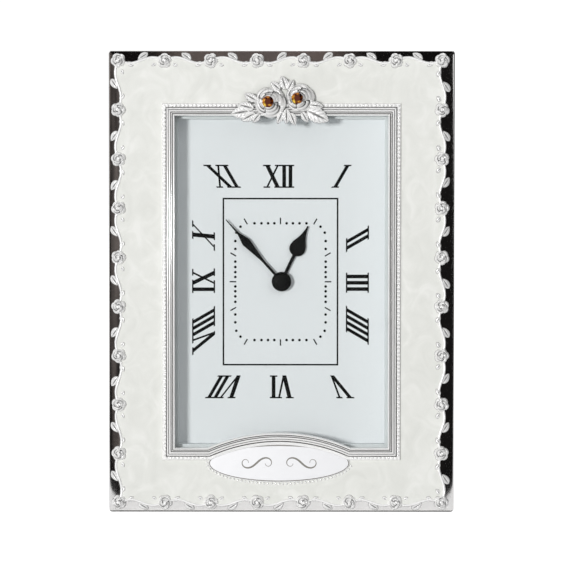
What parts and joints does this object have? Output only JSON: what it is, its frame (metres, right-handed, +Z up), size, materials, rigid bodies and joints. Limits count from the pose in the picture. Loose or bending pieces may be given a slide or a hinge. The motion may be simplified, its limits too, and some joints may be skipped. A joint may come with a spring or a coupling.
{
  "type": "photo frame clock",
  "caption": "Silver-plated photo frame clock with enamel panel, rose garland, oval plaque, quartz movement and folding easel strut.",
  "frame": {"origin": "on the table, under the middle of the clock's overall box at rest, leaning on its open strut", "axes": "+Z up, the dial faces -Y and leans back, +X to the right seen from the front"},
  "size_m": [0.152, 0.0556, 0.2005],
  "materials": {
    "silver_plate": "mirror-polished silver plate",
    "pearl_enamel": "pearl epoxy enamel with faint swirls",
    "silver_plaque": "satin silver plate",
    "antique_silver": "silver plate darkened in the recesses",
    "amber_crystal": "faceted amber crystal",
    "clear_glass": "clear float glass",
    "white_spacer": "matt white",
    "dial_card": "smooth pale dial with black print",
    "black_velvet": "black velvet over board",
    "black_enamel": "satin black paint",
    "brass_arbor": "turned brass",
    "white_gear": "moulded acetal",
    "magnet_rotor": "moulded magnet and pinion",
    "spring_steel": "nickel-plated spring steel",
    "black_plastic": "moulded black plastic with a fine texture",
    "foam_pad": "double-sided foam",
    "core_steel": "soft iron plate",
    "coil_bobbin": "moulded nylon",
    "copper_wire": "enamelled copper wire",
    "circuit_green": "solder resist on laminate",
    "chip_resin": "black resin",
    "can_steel": "tinned steel",
    "battery_sleeve": "plain printed sleeve",
    "fastener_steel": "nickel-plated steel"
  },
  "bodies": {
    "clock": {"front_frame": "silver_plate", "enamel_panel": "pearl_enamel", "oval_plaque": "silver_plaque", "rose_garland": "antique_silver", "rose_cluster": "antique_silver", "crystal_left": "amber_crystal", "crystal_right": "amber_crystal", "glass_pane": "clear_glass", "dial_spacer": "white_spacer", "dial_plate": "dial_card", "back_board": "black_velvet", "movement_case_front": "black_plastic", "movement_case_back": "black_plastic", "mounting_pad": "foam_pad", "stator": "core_steel", "coil_bobbin": "coil_bobbin", "coil_winding": "copper_wire", "circuit_board": "circuit_green", "control_chip": "chip_resin", "quartz_can": "can_steel", "contact_positive": "spring_steel", "contact_negative": "spring_steel", "turn_button_screws": "fastener_steel", "hinge_board_leaf": "fastener_steel", "hinge_pin": "fastener_steel"},
    "battery": {"battery": "battery_sleeve"},
    "minute_hand": {"minute_arbor": "brass_arbor", "clutch_washer": "spring_steel", "minute_hand": "black_enamel", "hand_cap": "black_enamel"},
    "hour_hand": {"hour_wheel": "white_gear", "hour_hand": "black_enamel"},
    "setting_knob": {"minute_wheel": "white_gear", "setting_knob": "black_plastic"},
    "centre_wheel": {"centre_wheel": "white_gear"},
    "third_wheel": {"third_wheel": "white_gear"},
    "second_wheel": {"second_wheel": "white_gear"},
    "step_wheel": {"step_wheel": "white_gear"},
    "rotor": {"rotor": "magnet_rotor"},
    "strut": {"strut_leg": "black_velvet", "hinge_strut_leaf": "fastener_steel"},
    "turn_button_1": {"turn_button_1": "fastener_steel"},
    "turn_button_2": {"turn_button_2": "fastener_steel"},
    "turn_button_3": {"turn_button_3": "fastener_steel"},
    "turn_button_4": {"turn_button_4": "fastener_steel"}
  },
  "joints": [
    {"name": "strut_fold", "type": "hinge", "parent": "clock", "child": "strut", "pos_m": [0, 0.00058, 0.06225], "axis": [1, 0, 0], "range_deg": [-22, 0]},
    {"name": "battery_slide", "type": "slide", "parent": "clock", "child": "battery", "axis": [0, 0.9781, -0.2079], "range_m": [0, 0.022]},
    {"name": "minute_hand_turn", "type": "hinge", "parent": "clock", "child": "minute_hand", "pos_m": [0, 0.00671, 0.09928], "axis": [0, -0.9781, 0.2079], "continuous": true},
    {"name": "hour_hand_turn", "type": "hinge", "parent": "clock", "child": "hour_hand", "pos_m": [0, 0.00671, 0.09928], "axis": [0, -0.9781, 0.2079], "continuous": true},
    {"name": "setting_knob_turn", "type": "hinge", "parent": "clock", "child": "setting_knob", "pos_m": [0.01069, 0.0064, 0.09781], "axis": [0, -0.9781, 0.2079], "continuous": true},
    {"name": "rotor_spin", "type": "hinge", "parent": "clock", "child": "rotor", "pos_m": [-0.01248, 0.00978, 0.11369], "axis": [0, -0.9781, 0.2079], "continuous": true},
    {"name": "step_wheel_turn", "type": "hinge", "parent": "clock", "child": "step_wheel", "pos_m": [-0.01141, 0.00852, 0.10775], "axis": [0, -0.9781, 0.2079], "continuous": true},
    {"name": "second_wheel_turn", "type": "hinge", "parent": "clock", "child": "second_wheel", "pos_m": [-0.00464, 0.00903, 0.11016], "axis": [0, -0.9781, 0.2079], "continuous": true},
    {"name": "third_wheel_turn", "type": "hinge", "parent": "clock", "child": "third_wheel", "pos_m": [0.0054, 0.00866, 0.10843], "axis": [0, -0.9781, 0.2079], "continuous": true},
    {"name": "centre_wheel_turn", "type": "hinge", "parent": "clock", "child": "centre_wheel", "pos_m": [0, 0.00671, 0.09928], "axis": [0, -0.9781, 0.2079], "continuous": true},
    {"name": "turn_button_1_swing", "type": "hinge", "parent": "clock", "child": "turn_button_1", "pos_m": [-0.0691, -0.00569, 0.04093], "axis": [0, -0.9781, 0.2079], "range_deg": [0, 90]},
    {"name": "turn_button_2_swing", "type": "hinge", "parent": "clock", "child": "turn_button_2", "pos_m": [0.0691, -0.00569, 0.04093], "axis": [0, -0.9781, 0.2079], "range_deg": [-90, 0]},
    {"name": "turn_button_3_swing", "type": "hinge", "parent": "clock", "child": "turn_button_3", "pos_m": [0.0691, 0.01912, 0.15763], "axis": [0, -0.9781, 0.2079], "range_deg": [0, 90]},
    {"name": "turn_button_4_swing", "type": "hinge", "parent": "clock", "child": "turn_button_4", "pos_m": [-0.0691, 0.01912, 0.15763], "axis": [0, -0.9781, 0.2079], "range_deg": [-90, 0]}
  ],
  "couplings": [
    {"joint": "hour_hand_turn", "follows": "minute_hand_turn", "ratio": 0.083333},
    {"joint": "setting_knob_turn", "follows": "minute_hand_turn", "ratio": -0.33333},
    {"joint": "step_wheel_turn", "follows": "rotor_spin", "ratio": -0.16667},
    {"joint": "second_wheel_turn", "follows": "rotor_spin", "ratio": 0.033333},
    {"joint": "third_wheel_turn", "follows": "rotor_spin", "ratio": -0.0044444},
    {"joint": "centre_wheel_turn", "follows": "rotor_spin", "ratio": 0.00055556}
  ]
}
